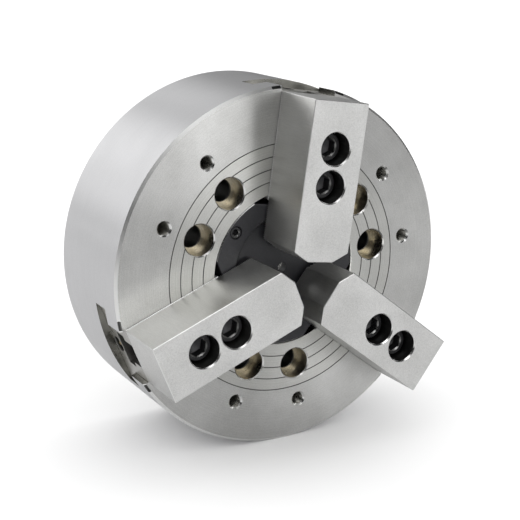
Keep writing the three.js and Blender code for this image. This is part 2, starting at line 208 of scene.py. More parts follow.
# %% Outlines with eased corners
def eased(corners, steps=3):
    """A closed outline whose corners are cut by arcs.

    A corner is (a, b, size). The arc is a quadratic curve from size before the
    corner to size after it, which pulls towards the corner itself.
    """
    points = np.array([corner[:2] for corner in corners], float)
    sizes = [corner[2] if len(corner) > 2 else 0 for corner in corners]
    outline = []
    for i, size in enumerate(sizes):
        if size == 0:
            outline.append(points[i])
            continue
        before = points[i - 1] - points[i]
        after = points[(i + 1) % len(points)] - points[i]
        start = points[i] + size * before / np.linalg.norm(before)
        end = points[i] + size * after / np.linalg.norm(after)
        share = np.linspace(0, 1, steps)[:, None]
        curve = (1 - share) ** 2 * start + 2 * share * (1 - share) * points[i] + share**2 * end
        outline.extend(curve)
    return np.array(outline)


def inset(outline, size):
    """Move every edge of a closed outline inwards, so that corners move along their bisector."""
    after = np.roll(outline, -1, axis=0) - outline
    after /= np.linalg.norm(after, axis=1)[:, None]
    before = np.roll(after, 1, axis=0)
    x, y = outline.T
    area = np.sum(x * np.roll(y, -1) - y * np.roll(x, -1)) / 2
    inwards = math.copysign(1, area)
    normal_after = inwards * np.stack([-after[:, 1], after[:, 0]], axis=1)
    normal_before = inwards * np.stack([-before[:, 1], before[:, 0]], axis=1)
    middle = normal_after + normal_before
    scale = 2 / np.sum(middle * middle, axis=1)[:, None]
    return outline + size * middle * scale


# %% Shapes that are milled to an outline
PLAN = (0, 2, 1)      # an outline of (x, z), given its height along y
SECTION = (2, 1, 0)   # an outline of (z, y), given its length along x
SIDE = (0, 1, 2)      # an outline of (x, y), given its width along z


def milled(name, outline, low, high, axes, chamfer=(0, 0)):
    """An outline carried along a straight line, with a chamfer at its low and high end.

    axes says which of x, y, z the outline's two numbers and the length are.
    """
    outline = np.asarray(outline, float)
    levels = [(low, chamfer[0]), (low + chamfer[0], 0), (high - chamfer[1], 0), (high, chamfer[1])]
    used = [level for i, level in enumerate(levels) if i == 0 or level != levels[i - 1]]
    rows = np.zeros((len(used), len(outline), 3))
    for row, (height, cut) in zip(rows, used):
        row[:, axes[:2]] = inset(outline, cut) if cut else outline
        row[:, axes[2]] = height
    return skin(name, rows)


def box_outline(a0, a1, b0, b1, size=0):
    return eased([(a0, b0, size), (a1, b0, size), (a1, b1, size), (a0, b1, size)])


def turn_to(piece, angle):
    """Turn a mesh about the chuck's axis, from +X towards +Z."""
    points = coordinates(piece.data)
    cosine, sine = math.cos(math.radians(angle)), math.sin(math.radians(angle))
    x, z = points[:, 0].copy(), points[:, 2].copy()
    points[:, 0] = x * cosine - z * sine
    points[:, 2] = x * sine + z * cosine
    piece.data.vertices.foreach_set("co", points.ravel())
    piece.data.update()
    return piece


def coordinates(mesh):
    points = np.zeros(len(mesh.vertices) * 3)
    mesh.vertices.foreach_get("co", points)
    return points.reshape(-1, 3)


# %% Cutting and joining
def merge(pieces):
    """Put several separate shells into one object."""
    work = bmesh.new()
    for piece in pieces:
        work.from_mesh(piece.data)
    whole = bpy.data.meshes.new(pieces[0].name)
    work.to_mesh(whole)
    work.free()
    for piece in pieces[1:]:
        bpy.data.objects.remove(piece)
    pieces[0].data = whole
    return pieces[0]


def carve(piece, tools, operation="DIFFERENCE"):
    """Cut the tools out of a piece, or join them to it, in one exact boolean step."""
    tool = merge(tools)
    step = piece.modifiers.new("carve", "BOOLEAN")
    step.operation = operation
    step.object = tool
    step.solver = "EXACT"
    graph = bpy.context.evaluated_depsgraph_get()
    result = bpy.data.meshes.new_from_object(piece.evaluated_get(graph))
    piece.modifiers.clear()
    piece.data = result
    bpy.data.objects.remove(tool)
    return piece


def finish_edges(piece, angle=28):
    """Shade smooth, and keep every edge sharp where two faces meet at more than the angle."""
    piece.data.shade_smooth()
    piece.data.set_sharp_from_angle(angle=math.radians(angle))
    return piece


def remember_place(piece):
    """Store each point's place in the jaw's own drawing, so that marks turn with the jaw."""
    points = coordinates(piece.data)
    kept = piece.data.attributes.new("drawn", "FLOAT_VECTOR", "POINT")
    kept.data.foreach_set("vector", points.ravel())
    return piece


def report(piece):
    print(f"{piece.name}: {len(piece.data.polygons)} faces")
    return piece


# %% [markdown]
# ## Finishes
#
# Machined steel is one metal with many surfaces. What the eye reads as turned,
# ground or milled is the direction and the spacing of fine tool marks, which
# stretch each reflection across them. The marks could be a picture laid over
# the part, but then they would smear on a curved rim. Here they are worked out
# from the place on the part: rings from the distance to the axis, lines from
# the place in the jaw's drawing. Each effect is a node group with its own
# inputs, so that one group serves several metals.

# %% Small helpers for node trees
def add(tree, kind, settings=None, **inputs):
    """Add a node, set its properties, and give its inputs a value or a link.

    Inputs go by name, or by number where i_0 means the first one.
    """
    made = tree.nodes.new(kind)
    for key, value in (settings or {}).items():
        setattr(made, key, value)
    for key, value in inputs.items():
        place = int(key[2:]) if key.startswith("i_") else key.replace("_", " ")
        socket = made.inputs[place]
        if isinstance(value, bpy.types.NodeSocket):
            tree.links.new(value, socket)
        else:
            socket.default_value = value
    return made


def maths(tree, operation, first, second=0.0):
    return add(tree, "ShaderNodeMath", {"operation": operation}, i_0=first, i_1=second).outputs[0]


def new_group(name, inputs, outputs):
    """A shader node group with named float or vector inputs and outputs."""
    tree = bpy.data.node_groups.new(name, "ShaderNodeTree")
    for label, kind, value in inputs:
        socket = tree.interface.new_socket(label, in_out="INPUT", socket_type=kind)
        if value is not None:
            socket.default_value = value
    for label, kind in outputs:
        tree.interface.new_socket(label, in_out="OUTPUT", socket_type=kind)
    return tree, tree.nodes.new("NodeGroupInput").outputs, tree.nodes.new("NodeGroupOutput").inputs


def place_group(tree, group, **inputs):
    """Put a node group in a tree and return its outputs."""
    return add(tree, "ShaderNodeGroup", {"node_tree": group}, **inputs).outputs


# %% [markdown]
# ### Turning marks, milling marks, smudges
#
# - Turning marks: noise that only knows the distance to the axis, so it makes rings.
# - Milling marks: noise stretched along one direction, so it makes lines.
# - Smudges: soft clouds that tell where the oiled surface is a little duller.

# %% The shared effects
FLOAT, VECTOR = "NodeSocketFloat", "NodeSocketVector"

rings, given, result = new_group(
    "turning marks", [("Place", VECTOR, None), ("Per metre", FLOAT, 900.0)], [("Marks", FLOAT)])
split = add(rings, "ShaderNodeSeparateXYZ", Vector=given["Place"]).outputs
squares = maths(rings, "ADD", maths(rings, "MULTIPLY", split["X"], split["X"]),
                maths(rings, "MULTIPLY", split["Z"], split["Z"]))
distance = maths(rings, "MULTIPLY", maths(rings, "SQRT", squares), given["Per metre"])
ring_noise = add(rings, "ShaderNodeTexNoise", {"noise_dimensions": "1D"},
                 W=distance, Scale=1.0, Detail=3.0, Roughness=0.7)
rings.links.new(ring_noise.outputs["Fac"], result["Marks"])

lines, given, result = new_group(
    "milling marks", [("Place", VECTOR, None), ("Stretch", VECTOR, (60.0, 900.0, 900.0))],
    [("Marks", FLOAT)])
scaled = add(lines, "ShaderNodeVectorMath", {"operation": "MULTIPLY"},
             i_0=given["Place"], i_1=given["Stretch"])
line_noise = add(lines, "ShaderNodeTexNoise", {"noise_dimensions": "3D"},
                 Vector=scaled.outputs[0], Scale=1.0, Detail=3.0, Roughness=0.65)
lines.links.new(line_noise.outputs["Fac"], result["Marks"])

SPECKS_PER_CLOUD = 80.0
smudges, given, result = new_group(
    "smudges", [("Place", VECTOR, None), ("Per metre", FLOAT, 18.0)],
    [("Amount", FLOAT), ("Specks", FLOAT)])
cloud = add(smudges, "ShaderNodeTexNoise", {"noise_dimensions": "3D"},
            Vector=given["Place"], Scale=given["Per metre"], Detail=5.0, Roughness=0.6)
cloud_range = add(smudges, "ShaderNodeMapRange",
                  Value=cloud.outputs["Fac"], From_Min=0.35, From_Max=0.68)
speck_scale = maths(smudges, "MULTIPLY", given["Per metre"], SPECKS_PER_CLOUD)
speck = add(smudges, "ShaderNodeTexNoise", {"noise_dimensions": "3D"},
            Vector=given["Place"], Scale=speck_scale, Detail=2.0, Roughness=0.6)
smudges.links.new(cloud_range.outputs["Result"], result["Amount"])
smudges.links.new(speck.outputs["Fac"], result["Specks"])
print("groups:", [group.name for group in bpy.data.node_groups])


# %% [markdown]
# ### One recipe for all the steels
#
# A finish needs a place to measure from, a kind of mark, how strongly the marks
# shade the colour, how they change the roughness and how deep they are. The
# Principled shader stays in the material itself.

# %% The steel recipe
# How much each effect counts in the colour. The specks count as much in the relief.
MARK_SHARE, SPECK_SHARE, CLOUD_SHARE = 0.3, 0.5, 0.2


def steel(name, dark, light, roughness, marks, depth, place="object", metallic=1.0,
          anisotropic=0.0, spread=0.06, cloud=18.0, tint=None):
    """A metal whose colour runs from dark to light with marks and smudges."""
    material = bpy.data.materials.new(name)
    material.use_nodes = True
    tree = material.node_tree
    shader = tree.nodes["Principled BSDF"]
    if place == "object":
        where = add(tree, "ShaderNodeTexCoord").outputs["Object"]
    else:
        where = add(tree, "ShaderNodeAttribute", {"attribute_name": place}).outputs["Vector"]
    group, values = marks
    marked = place_group(tree, group, Place=where, **values)["Marks"]
    smudge = place_group(tree, smudges, Place=where, Per_metre=cloud)
    specks = maths(tree, "MULTIPLY", smudge["Specks"], SPECK_SHARE)
    clouds = maths(tree, "MULTIPLY", smudge["Amount"], CLOUD_SHARE)
    grain = maths(tree, "ADD", maths(tree, "MULTIPLY", marked, MARK_SHARE), specks)
    grain = maths(tree, "ADD", grain, clouds)
    blend = add(tree, "ShaderNodeMapRange", Value=grain, From_Min=0.25, From_Max=0.75)
    colour = add(tree, "ShaderNodeMix", {"data_type": "RGBA"}, Factor=blend.outputs["Result"])
    colour.inputs[6].default_value = (*dark, 1)
    colour.inputs[7].default_value = (*light, 1)
    painted = colour.outputs[2]
    if tint is not None:
        painted = tint(tree, where, painted)
    tree.links.new(painted, shader.inputs["Base Color"])
    rough = add(tree, "ShaderNodeMapRange", Value=smudge["Amount"],
                To_Min=roughness - spread, To_Max=roughness + spread)
    tree.links.new(rough.outputs["Result"], shader.inputs["Roughness"])
    relief = maths(tree, "ADD", marked, specks)
    bump = add(tree, "ShaderNodeBump", Strength=1.0, Distance=depth * MM, Height=relief)
    tree.links.new(bump.outputs["Normal"], shader.inputs["Normal"])
    shader.inputs["Metallic"].default_value = metallic
    shader.inputs["Anisotropic"].default_value = anisotropic
    if anisotropic:
        direction = add(tree, "ShaderNodeTangent", {"direction_type": "RADIAL", "axis": "Y"})
        tree.links.new(direction.outputs["Tangent"], shader.inputs["Tangent"])
        shader.inputs["Anisotropic Rotation"].default_value = 0.25
    return material


# %% [markdown]
# ### Painted reflection in the fixing holes
#
# The walls of the deep counterbores are tinted golden brown, more in some
# patches than in others. The tint is painted reflection colour.

# %% The painted reflection tint
def reflection_tint(tree, where, painted):
    """Paint reflection colour: mix the metal's colour with golden brown where a cloud of noise is high."""
    patch = add(tree, "ShaderNodeTexNoise", Vector=where, Scale=70.0, Detail=4.0, Roughness=0.6)
    amount = add(tree, "ShaderNodeMapRange", Value=patch.outputs["Fac"], From_Min=0.3, From_Max=0.62,
                 To_Min=0.35, To_Max=1.0)
    mixed = add(tree, "ShaderNodeMix", {"data_type": "RGBA", "blend_type": "MULTIPLY"},
                Factor=amount.outputs["Result"])
    tree.links.new(painted, mixed.inputs[6])
    mixed.inputs[7].default_value = (0.95, 0.89, 0.76, 1)
    return mixed.outputs[2]


# %% The finishes
# Some finishes are lit and shaded copies of the steel: painted highlights on chamfers and edges, painted
# shade in slots, holes, grooves and recesses, and a painted reflection in the fixing holes.
RINGS = (rings, {"Per_metre": 1400.0})
finishes = {
    "faced": steel("faced steel", (0.38, 0.38, 0.37), (0.72, 0.72, 0.71), 0.30, RINGS, 0.004,
                   anisotropic=0.96, spread=0.02),
    "inner": steel("fine faced steel", (0.44, 0.44, 0.42), (0.68, 0.68, 0.66), 0.32,
                   (rings, {"Per_metre": 900.0}), 0.006, anisotropic=0.96, spread=0.02),
    "ground": steel("ground steel", (0.62, 0.62, 0.63), (0.76, 0.76, 0.77), 0.30,
                    (lines, {"Stretch": (30.0, 1500.0, 30.0)}), 0.002, anisotropic=0.85, spread=0.02),
    # A lighter, smoother copy of the steel for chamfers. The real chamfer catches light, and the lighter
    # colour adds painted highlight.
    "chamfer": steel("chamfer steel with painted highlight", (0.76, 0.76, 0.75), (0.86, 0.86, 0.85), 0.25, RINGS, 0.002),
    # A dark copy of the steel for the body's slots, pocket, cavity and other inner faces, as painted
    # shade.
    "slot": steel("slot steel with painted shade", (0.10, 0.10, 0.09), (0.50, 0.49, 0.45), 0.28,
                  (lines, {"Stretch": (120.0, 900.0, 120.0)}), 0.006, cloud=30.0),
    # A golden-brown tint in patches, painted reflection for the counterbore walls.
    "reflection tinted": steel("bore with painted reflection", (0.26, 0.25, 0.22), (0.80, 0.78, 0.73), 0.30,
                     (lines, {"Stretch": (60.0, 1400.0, 60.0)}), 0.006, tint=reflection_tint),
    "milled": steel("milled jaw", (0.52, 0.52, 0.51), (0.84, 0.84, 0.83), 0.34,
                    (lines, {"Stretch": (900.0, 900.0, 900.0)}), 0.004, place="drawn", spread=0.02),
    "side": steel("ground jaw side", (0.54, 0.54, 0.52), (0.80, 0.80, 0.78), 0.36,
                  (lines, {"Stretch": (1200.0, 60.0, 1200.0)}), 0.004, place="drawn", spread=0.03),
    # The lightest copy of the steel: painted highlight on the rim's chamfer, the broken jaw edges and the
    # tooth ends.
    "painted highlight edge": steel("broken edge with painted highlight", (0.86, 0.86, 0.85), (0.94, 0.94, 0.93), 0.42, RINGS, 0.002),
    # A dark copy of the steel, used as painted shade inside holes, grooves, recesses and between the
    # teeth.
    "bore": steel("dark bore", (0.10, 0.10, 0.10), (0.20, 0.20, 0.19), 0.36,
                  (lines, {"Stretch": (120.0, 1500.0, 120.0)}), 0.006),
    "hardened": steel("hardened steel", (0.38, 0.38, 0.37), (0.58, 0.57, 0.54), 0.28,
                      (lines, {"Stretch": (60.0, 900.0, 900.0)}), 0.005, place="drawn"),
    "wedge": steel("oiled wedge steel", (0.40, 0.40, 0.41), (0.56, 0.56, 0.57), 0.34, RINGS, 0.006),
    "black": steel("black oxide", (0.014, 0.014, 0.016), (0.035, 0.035, 0.040), 0.42,
                   (lines, {"Stretch": (700.0, 700.0, 700.0)}), 0.008, metallic=0.25, spread=0.06),
    # A lighter, fully metallic copy of the black oxide, as painted highlight on the cover's rims and the
    # screws' socket mouths.
    "edge": steel("black edge with painted highlight", (0.26, 0.26, 0.26), (0.55, 0.55, 0.54), 0.3,
                  (lines, {"Stretch": (300.0, 300.0, 300.0)}), 0.004),
    "screw": steel("blackened screw", (0.016, 0.016, 0.017), (0.05, 0.05, 0.053), 0.3,
                   (lines, {"Stretch": (900.0, 900.0, 900.0)}), 0.010, metallic=0.4, spread=0.08),
    # The nipple's brass hue, kept dark as painted shade of the recess it sits in.
    "brass": steel("nipple brass with painted shade", (0.20, 0.16, 0.09), (0.34, 0.27, 0.15), 0.4,
                   (lines, {"Stretch": (600.0, 600.0, 600.0)}), 0.006),
}
print("finishes:", ", ".join(finishes))


# %% Which finish goes on which face
def face_facts(piece):
    """Centres in millimetres, normals, and distances to the chuck's axis, for all faces."""
    count = len(piece.data.polygons)
    centre, normal = np.zeros(count * 3), np.zeros(count * 3)
    piece.data.polygons.foreach_get("center", centre)
    piece.data.polygons.foreach_get("normal", normal)
    centre, normal = centre.reshape(-1, 3) / MM, normal.reshape(-1, 3)
    return centre, normal, np.hypot(centre[:, 0], centre[:, 2])


def leaning(normal):
    """True for faces that lean between facing along the axis and facing away from it."""
    return (np.abs(normal[:, 1]) > 0.3) & (np.abs(normal[:, 1]) < 0.95)


def paint(piece, base, rules=()):
    """Give all faces the base finish, then each rule's faces its own finish."""
    piece.data.materials.clear()
    index = np.zeros(len(piece.data.polygons), np.int32)
    piece.data.materials.append(finishes[base])
    for number, (finish, mask) in enumerate(rules, 1):
        piece.data.materials.append(finishes[finish])
        index[mask] = number
    piece.data.polygons.foreach_set("material_index", index)
    piece.data.update()
    return piece


def fit(piece, body, slot, *nodes):
    """Let a finished piece ride on its body and stand for its CAD nodes."""
    finish_edges(piece)
    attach(piece, body)
    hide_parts(*nodes)
    return report(piece)


# %% [markdown]
# ## The body
#
# The body is a thick steel disc, turned all over. Its outline carries the four
# fine grooves that help an operator set the soft jaws, the chamfered rims, the
# locating recess at the back and the cavity for the wedge plunger. Three
# T-slots for the master jaws and all the holes are then cut out of it, each
# with a cutter that already has the chamfer on it.

# %% The turned blank
def groove(radius):
    """Four points of a shallow groove with sloping walls."""
    half = GROOVE_WIDTH / 2
    flat = half * GROOVE_FLOOR
    return [(radius - half, FRONT), (radius - flat, FRONT + GROOVE_DEPTH),
            (radius + flat, FRONT + GROOVE_DEPTH), (radius + half, FRONT)]


bore = COVER_RADIUS + GAP
body_outline = np.array(
    [(bore, FRONT + BORE_CHAMFER), (bore + BORE_CHAMFER, FRONT)]
    + [point for radius in GROOVE_RADII for point in groove(radius)]
    + [(RADIUS - RIM_CHAMFER, FRONT), (RADIUS, FRONT + RIM_CHAMFER),
       (RADIUS, -REAR_CHAMFER), (RADIUS - REAR_CHAMFER, 0),
       (REGISTER_RADIUS + RECESS_CHAMFER, 0), (REGISTER_RADIUS, -RECESS_CHAMFER),
       (REGISTER_RADIUS, -REGISTER_DEPTH), (CAVITY_RADIUS + RECESS_CHAMFER, -REGISTER_DEPTH),
       (CAVITY_RADIUS, -REGISTER_DEPTH - RECESS_CHAMFER),
       (CAVITY_RADIUS, CAVITY_FRONT), (SLEEVE_RADIUS + GAP, CAVITY_FRONT),
       (SLEEVE_RADIUS + GAP, FRONT + COVER_LENGTH), (bore, FRONT + COVER_LENGTH)])
chuck_body = report(turned("turned_body", body_outline, steps=360, loop=True))


# %% Cutters for the slots
CUTTER_START = 30
POCKET_HALF = 20.5
POCKET_REAR = -17
POCKET_END = 89.5


def mirrored(side):
    """Half an outline, followed by its mirror image across the middle."""
    return side + [(-corner[0], *corner[1:]) for corner in reversed(side)]


def slot_cutter():
    """The T outline across a jaw slot, with a chamfer at its mouth, carried along the radius."""
    neck, wing = NECK + SLIDING_FIT, WING + GAP
    right = [(neck + 0.9, FRONT - BEYOND), (neck, FRONT + 0.2), (neck, FRONT + NECK_DEPTH),
             (wing, FRONT + NECK_DEPTH), (wing, FRONT + WING_DEPTH)]
    return milled("slot", mirrored(right), CUTTER_START, RADIUS + 8, SECTION)


def pocket_cutter():
    """The pocket behind the slot, where the jaw's hook reaches the plunger."""
    front = FRONT + WING_DEPTH - 4
    outline = box_outline(-POCKET_HALF, POCKET_HALF, front, POCKET_REAR, 3)
    return milled("pocket", outline, CUTTER_START, POCKET_END, SECTION)


carve(chuck_body, [turn_to(slot_cutter(), angle) for angle in JAW_ANGLES])
carve(chuck_body, [turn_to(pocket_cutter(), angle) for angle in JAW_ANGLES])
report(chuck_body)


# %% Cutters for the holes
def fixing_hole(at):
    """A stepped hole: chamfer, counterbore for the screw's head, through-hole, rear chamfer."""
    outline = [(MOUNT_COUNTERBORE + HOLE_CHAMFER + BEYOND, FRONT - BEYOND),
               (MOUNT_COUNTERBORE, FRONT + HOLE_CHAMFER),
               (MOUNT_COUNTERBORE, FRONT + MOUNT_SEAT), (MOUNT_HOLE + 0.6, FRONT + MOUNT_SEAT),
               (MOUNT_HOLE, FRONT + MOUNT_SEAT + 0.6), (MOUNT_HOLE, -REGISTER_DEPTH - 0.8),
               (MOUNT_HOLE + 1.8, -REGISTER_DEPTH + 1)]
    return turned("fixing hole", outline, 72, at)


def thread_rows(root, crest, pitch, low, high, steps=36, rows_per_turn=6):
    """Rows for a screw thread. The radius at angle t and height y runs from root to crest
    and back as a triangle wave of y / pitch - t / (one turn), which climbs one pitch a turn."""
    heights = np.linspace(low, high, int((high - low) / pitch * rows_per_turn) + 1)[:, None]
    turn = angles(steps)[None, :]
    phase = (heights / pitch - turn / (2 * np.pi)) % 1
    radius = root + (crest - root) * (1 - np.abs(2 * phase - 1))
    return np.stack([radius * np.cos(turn), heights + 0 * turn, radius * np.sin(turn)], axis=-1)


TAP_CORE, TAP_CREST, TAP_PITCH = 5.1, 5.95, 1.75
DRILL_POINT = 0.4       # radius that is left flat at the end of a drilled hole


def tapped_hole(at):
    """A chamfered mouth, an M12 thread and a drilled cone at the bottom."""
    end = FRONT + TAPPED_DEPTH
    mouth = lathe_rows([(7.6, FRONT - BEYOND), (5.4, FRONT + 1.2)], 36)
    thread = thread_rows(TAP_CORE, TAP_CREST, TAP_PITCH, FRONT + 1.5, end - 3)
    floor = lathe_rows([(TAP_CORE, end - 2.5), (DRILL_POINT, end)], 36)
    rows = np.concatenate([mouth, thread, floor])
    return skin("tapped hole", rows + np.array([at[0], 0, at[1]]))


MARK_DEPTH, MARK_HALF_FLOOR, MARK_HALF_LENGTH = 0.8, 0.4, 4
MARK_TURN = math.degrees(math.asin(30.5 / RADIUS))


def rim_mark():
    """A narrow groove along the middle of the rim's chamfer, which leans by 45 degrees."""
    middle = np.array([RADIUS - RIM_CHAMFER / 2, FRONT + RIM_CHAMFER / 2])
    along, inwards = np.array([1, 1]) / math.sqrt(2), np.array([-1, 1]) / math.sqrt(2)
    floor = middle + MARK_DEPTH * inwards
    side = [middle - along - inwards, middle + along - inwards,
            floor + MARK_HALF_FLOOR * along, floor - MARK_HALF_FLOOR * along]
    return milled("mark", side, -MARK_HALF_LENGTH, MARK_HALF_LENGTH, SIDE)


def web_hole(at):
    """The blind hole behind the cover that takes the end of a cover screw."""
    front = FRONT + COVER_LENGTH
    outline = [(COVER_SCREW_HOLE, front - BEYOND), (COVER_SCREW_HOLE, front + 12),
               (DRILL_POINT, front + 13.5)]
    return turned("web hole", outline, 32, at)


carve(chuck_body, [turn_to(rim_mark(), angle + side * MARK_TURN)
                   for angle in JAW_ANGLES for side in (-1, 1)])
carve(chuck_body, [fixing_hole(around(MOUNT_CIRCLE, angle)) for angle in HOLE_ANGLES]
      + [tapped_hole(around(TAPPED_CIRCLE, angle)) for angle in HOLE_ANGLES]
      + [web_hole(around(COVER_SCREW_CIRCLE, angle)) for angle in GAP_ANGLES])
report(chuck_body)

# %% Finishes of the body
centre, normal, distance = face_facts(chuck_body)
depth = centre[:, 1] - FRONT
from_hole = np.min([np.hypot(centre[:, 0] - x, centre[:, 2] - z)
                    for x, z in (around(MOUNT_CIRCLE, angle) for angle in HOLE_ANGLES)], axis=0)
tilted = leaning(normal)
angle = np.degrees(np.arctan2(centre[:, 2], centre[:, 0]))
off_jaw = np.min([np.abs((angle - jaw + 180) % 360 - 180) for jaw in JAW_ANGLES], axis=0)
inside = centre[:, 1] < -REGISTER_DEPTH - 0.1
off_mark = np.abs(off_jaw - MARK_TURN)
marked = (off_mark < math.degrees(4.2 / RADIUS)) & (depth < 3.5) & (distance > RADIUS - 3.6)
on_face = depth < 0.01
near_face = (depth > 0.01) & (depth < 2.5)
at_rear = centre[:, 1] > -REGISTER_DEPTH - 0.01
# The base finish paints shade on the slot walls, pocket, cavity and other inner faces of the body.
paint(chuck_body, "slot", [
    ("faced", on_face | (at_rear & (np.abs(normal[:, 1]) > 0.3))),
    ("inner", on_face & (distance < GROOVE_RADII[-1])),
    ("ground", distance > RADIUS - 0.5),
    # Painted highlight: the face's chamfers, and the rim's chamfer more so, take lighter copies of the
    # steel.
    ("chamfer", tilted & near_face & (distance > 60)),
    ("painted highlight edge", tilted & near_face & (distance > RADIUS - 4)),
    # Painted shade: the walls and floors of the face grooves take the dark bore finish.
    ("bore", (depth > 0.01) & (depth < GROOVE_DEPTH + 0.01) & (distance < 107)
     & (np.min([np.abs(distance - radius) for radius in GROOVE_RADII], axis=0) < 1)
     & (from_hole > MOUNT_COUNTERBORE + HOLE_CHAMFER)),
    # Painted reflection: the counterbore walls take the golden-brown tinted finish.
    ("reflection tinted", (from_hole < MOUNT_COUNTERBORE + 0.3) & (depth > HOLE_CHAMFER) & inside),
    # Painted shade: the through-holes behind the counterbores take the dark bore finish.
    ("bore", (from_hole < MOUNT_HOLE + 0.3) & (depth > MOUNT_SEAT) & inside),
    ("bore", marked & (depth > 0.02) & (distance < RADIUS - 0.02)),
])
fit(chuck_body, "chuck", "turned_steel", "chuck_body")

# %% [markdown]
# ## The cover and its plug
#
# A blackened flange closes the middle of the face. It is round, but a flat is
# cut away in front of each jaw so that the jaw can come in. A plug sits a few
# millimetres down in its bore, with a small hole to pull it out by.

# %% The cover
cover_face = FRONT + 0.5
cover_back = FRONT + COVER_LENGTH - GAP
plug_seat = FRONT + PLUG_DEPTH + PLUG_LENGTH + GAP
plug_bore = PLUG_RADIUS + GAP
cover_outline = eased([
    (plug_bore + 1.2, cover_face, 0.15), (COVER_RADIUS - 0.8, cover_face, 0.2),
    (COVER_RADIUS, cover_face + 0.8, 0.2), (COVER_RADIUS, cover_back),
    (SLEEVE_RADIUS, cover_back), (SLEEVE_RADIUS, SLEEVE_END - 0.6),
    (SLEEVE_RADIUS - 0.6, SLEEVE_END), (SLEEVE_BORE + 0.6, SLEEVE_END),
    (SLEEVE_BORE, SLEEVE_END - 0.6),
    (SLEEVE_BORE, plug_seat), (plug_bore, plug_seat), (plug_bore, cover_face + 1.2, 0.15)])
cover = turned("black_cover", cover_outline, steps=240, loop=True)


def cover_flat():
    """A block in front of a jaw, flared at the mouth so that it leaves a chamfer."""
    outer = COVER_RADIUS + 6
    side = [(COVER_FLAT - 1.6, FRONT - 0.8), (COVER_FLAT, FRONT + 0.9),
            (COVER_FLAT, cover_back + BEYOND), (outer, cover_back + BEYOND), (outer, FRONT - 0.8)]
    return milled("flat", side, -COVER_RADIUS, COVER_RADIUS, SIDE)


def cover_screw_hole(at):
    """A chamfered hole for the screw's head with a smaller hole through its floor."""
    head, seat = COVER_SCREW_HEAD_HOLE, FRONT + COVER_SCREW_SEAT
    outline = [(head + 1.1, FRONT - 0.5), (head, FRONT + 0.9), (head, seat),
               (COVER_SCREW_HOLE, seat), (COVER_SCREW_HOLE, cover_back + BEYOND)]
    return turned("screw hole", outline, 40, at)


screw_places = [around(COVER_SCREW_CIRCLE, angle) for angle in GAP_ANGLES]
carve(cover, [turn_to(cover_flat(), angle) for angle in JAW_ANGLES])
carve(cover, [cover_screw_hole(at) for at in screw_places])
centre, normal, distance = face_facts(cover)
rims = (distance > 62) | (distance < 47)
# Painted highlight: the chamfers at the cover's rims take the lighter edge finish.
paint(cover, "black", [("edge", leaning(normal) & (centre[:, 1] < FRONT + 2) & rims)])
fit(cover, "chuck", "black_oxide", "centre_cover")

# %% The plug
PULL_HOLE = 4
plug_face = FRONT + PLUG_DEPTH
plug_back = plug_face + PLUG_LENGTH
plug = turned("bore_plug", eased([
    (PULL_HOLE, plug_face + 0.3), (PULL_HOLE + 0.3, plug_face),
    (PLUG_RADIUS - 0.8, plug_face, 0.2), (PLUG_RADIUS, plug_face + 0.8, 0.2),
    (PLUG_RADIUS, plug_back), (PULL_HOLE, plug_back)]), steps=180, loop=True)
paint(plug, "black")
fit(plug, "chuck", "black_oxide", "blanking_plug")

# %% [markdown]
# ## The plunger and the draw nut
#
# The plunger is the part that the draw tube pulls. Three ramps are milled into
# its side, each with an undercut slot that grips the hook of a master jaw. The
# draw nut turns inside it and carries the thread for the draw tube.

# %% Ramp geometry
QUARTERS = (0, 90, 180, 270)
WEDGE_ANGLE = 13
RAMP_RADIUS = 71
RAMP_CENTRE = -38
LIP = 5.4
HOOK_SLOT_DEPTH = 11
STEM_HALF = 9
HOOK_HALF = 15
PLUNGER_RADIUS = 73.5
PLUNGER_FRONT = -58.2
PLUNGER_REAR = -17.5
NUT_RADIUS = 57
DRAW_NUT_FRONT = -41.7
DRAW_NUT_REAR = -23.3


def ramp(y):
    """Distance from the axis to the ramp, which leans by the wedge angle."""
    return RAMP_RADIUS + math.tan(math.radians(WEDGE_ANGLE)) * (y - RAMP_CENTRE)


def ramp_bar(name, inner, outer, low, high, half):
    """A bar that lies along the ramp, between two distances from it."""
    side = [(ramp(low) + inner, low), (ramp(low) + outer, low),
            (ramp(high) + outer, high), (ramp(high) + inner, high)]
    return milled(name, side, -half, half, SIDE)


# %% The plunger
nut_bore = NUT_RADIUS + GAP
sleeve_bore = SLEEVE_RADIUS + GAP
nut_seat = DRAW_NUT_FRONT - GAP
plunger = turned("wedge_ring", eased([
    (sleeve_bore, PLUNGER_FRONT, 0.5), (PLUNGER_RADIUS, PLUNGER_FRONT, 0.9),
    (PLUNGER_RADIUS, PLUNGER_REAR, 0.9), (nut_bore, PLUNGER_REAR, 0.6),
    (nut_bore, nut_seat), (sleeve_bore, nut_seat)]), steps=240, loop=True)
ramp_cut = (0, 30, 36)
neck_cut = (-LIP - 0.01, 1, STEM_HALF + GAP)
hook_cut = (-HOOK_SLOT_DEPTH, -LIP, HOOK_HALF + GAP)
for inner, outer, half in (ramp_cut, neck_cut, hook_cut):
    carve(plunger, [turn_to(ramp_bar("bar", inner, outer, PLUNGER_FRONT - 2, PLUNGER_REAR + 2, half),
                            angle) for angle in JAW_ANGLES])
paint(plunger, "wedge")
fit(plunger, "plunger", "wedge_steel", "wedge_plunger")

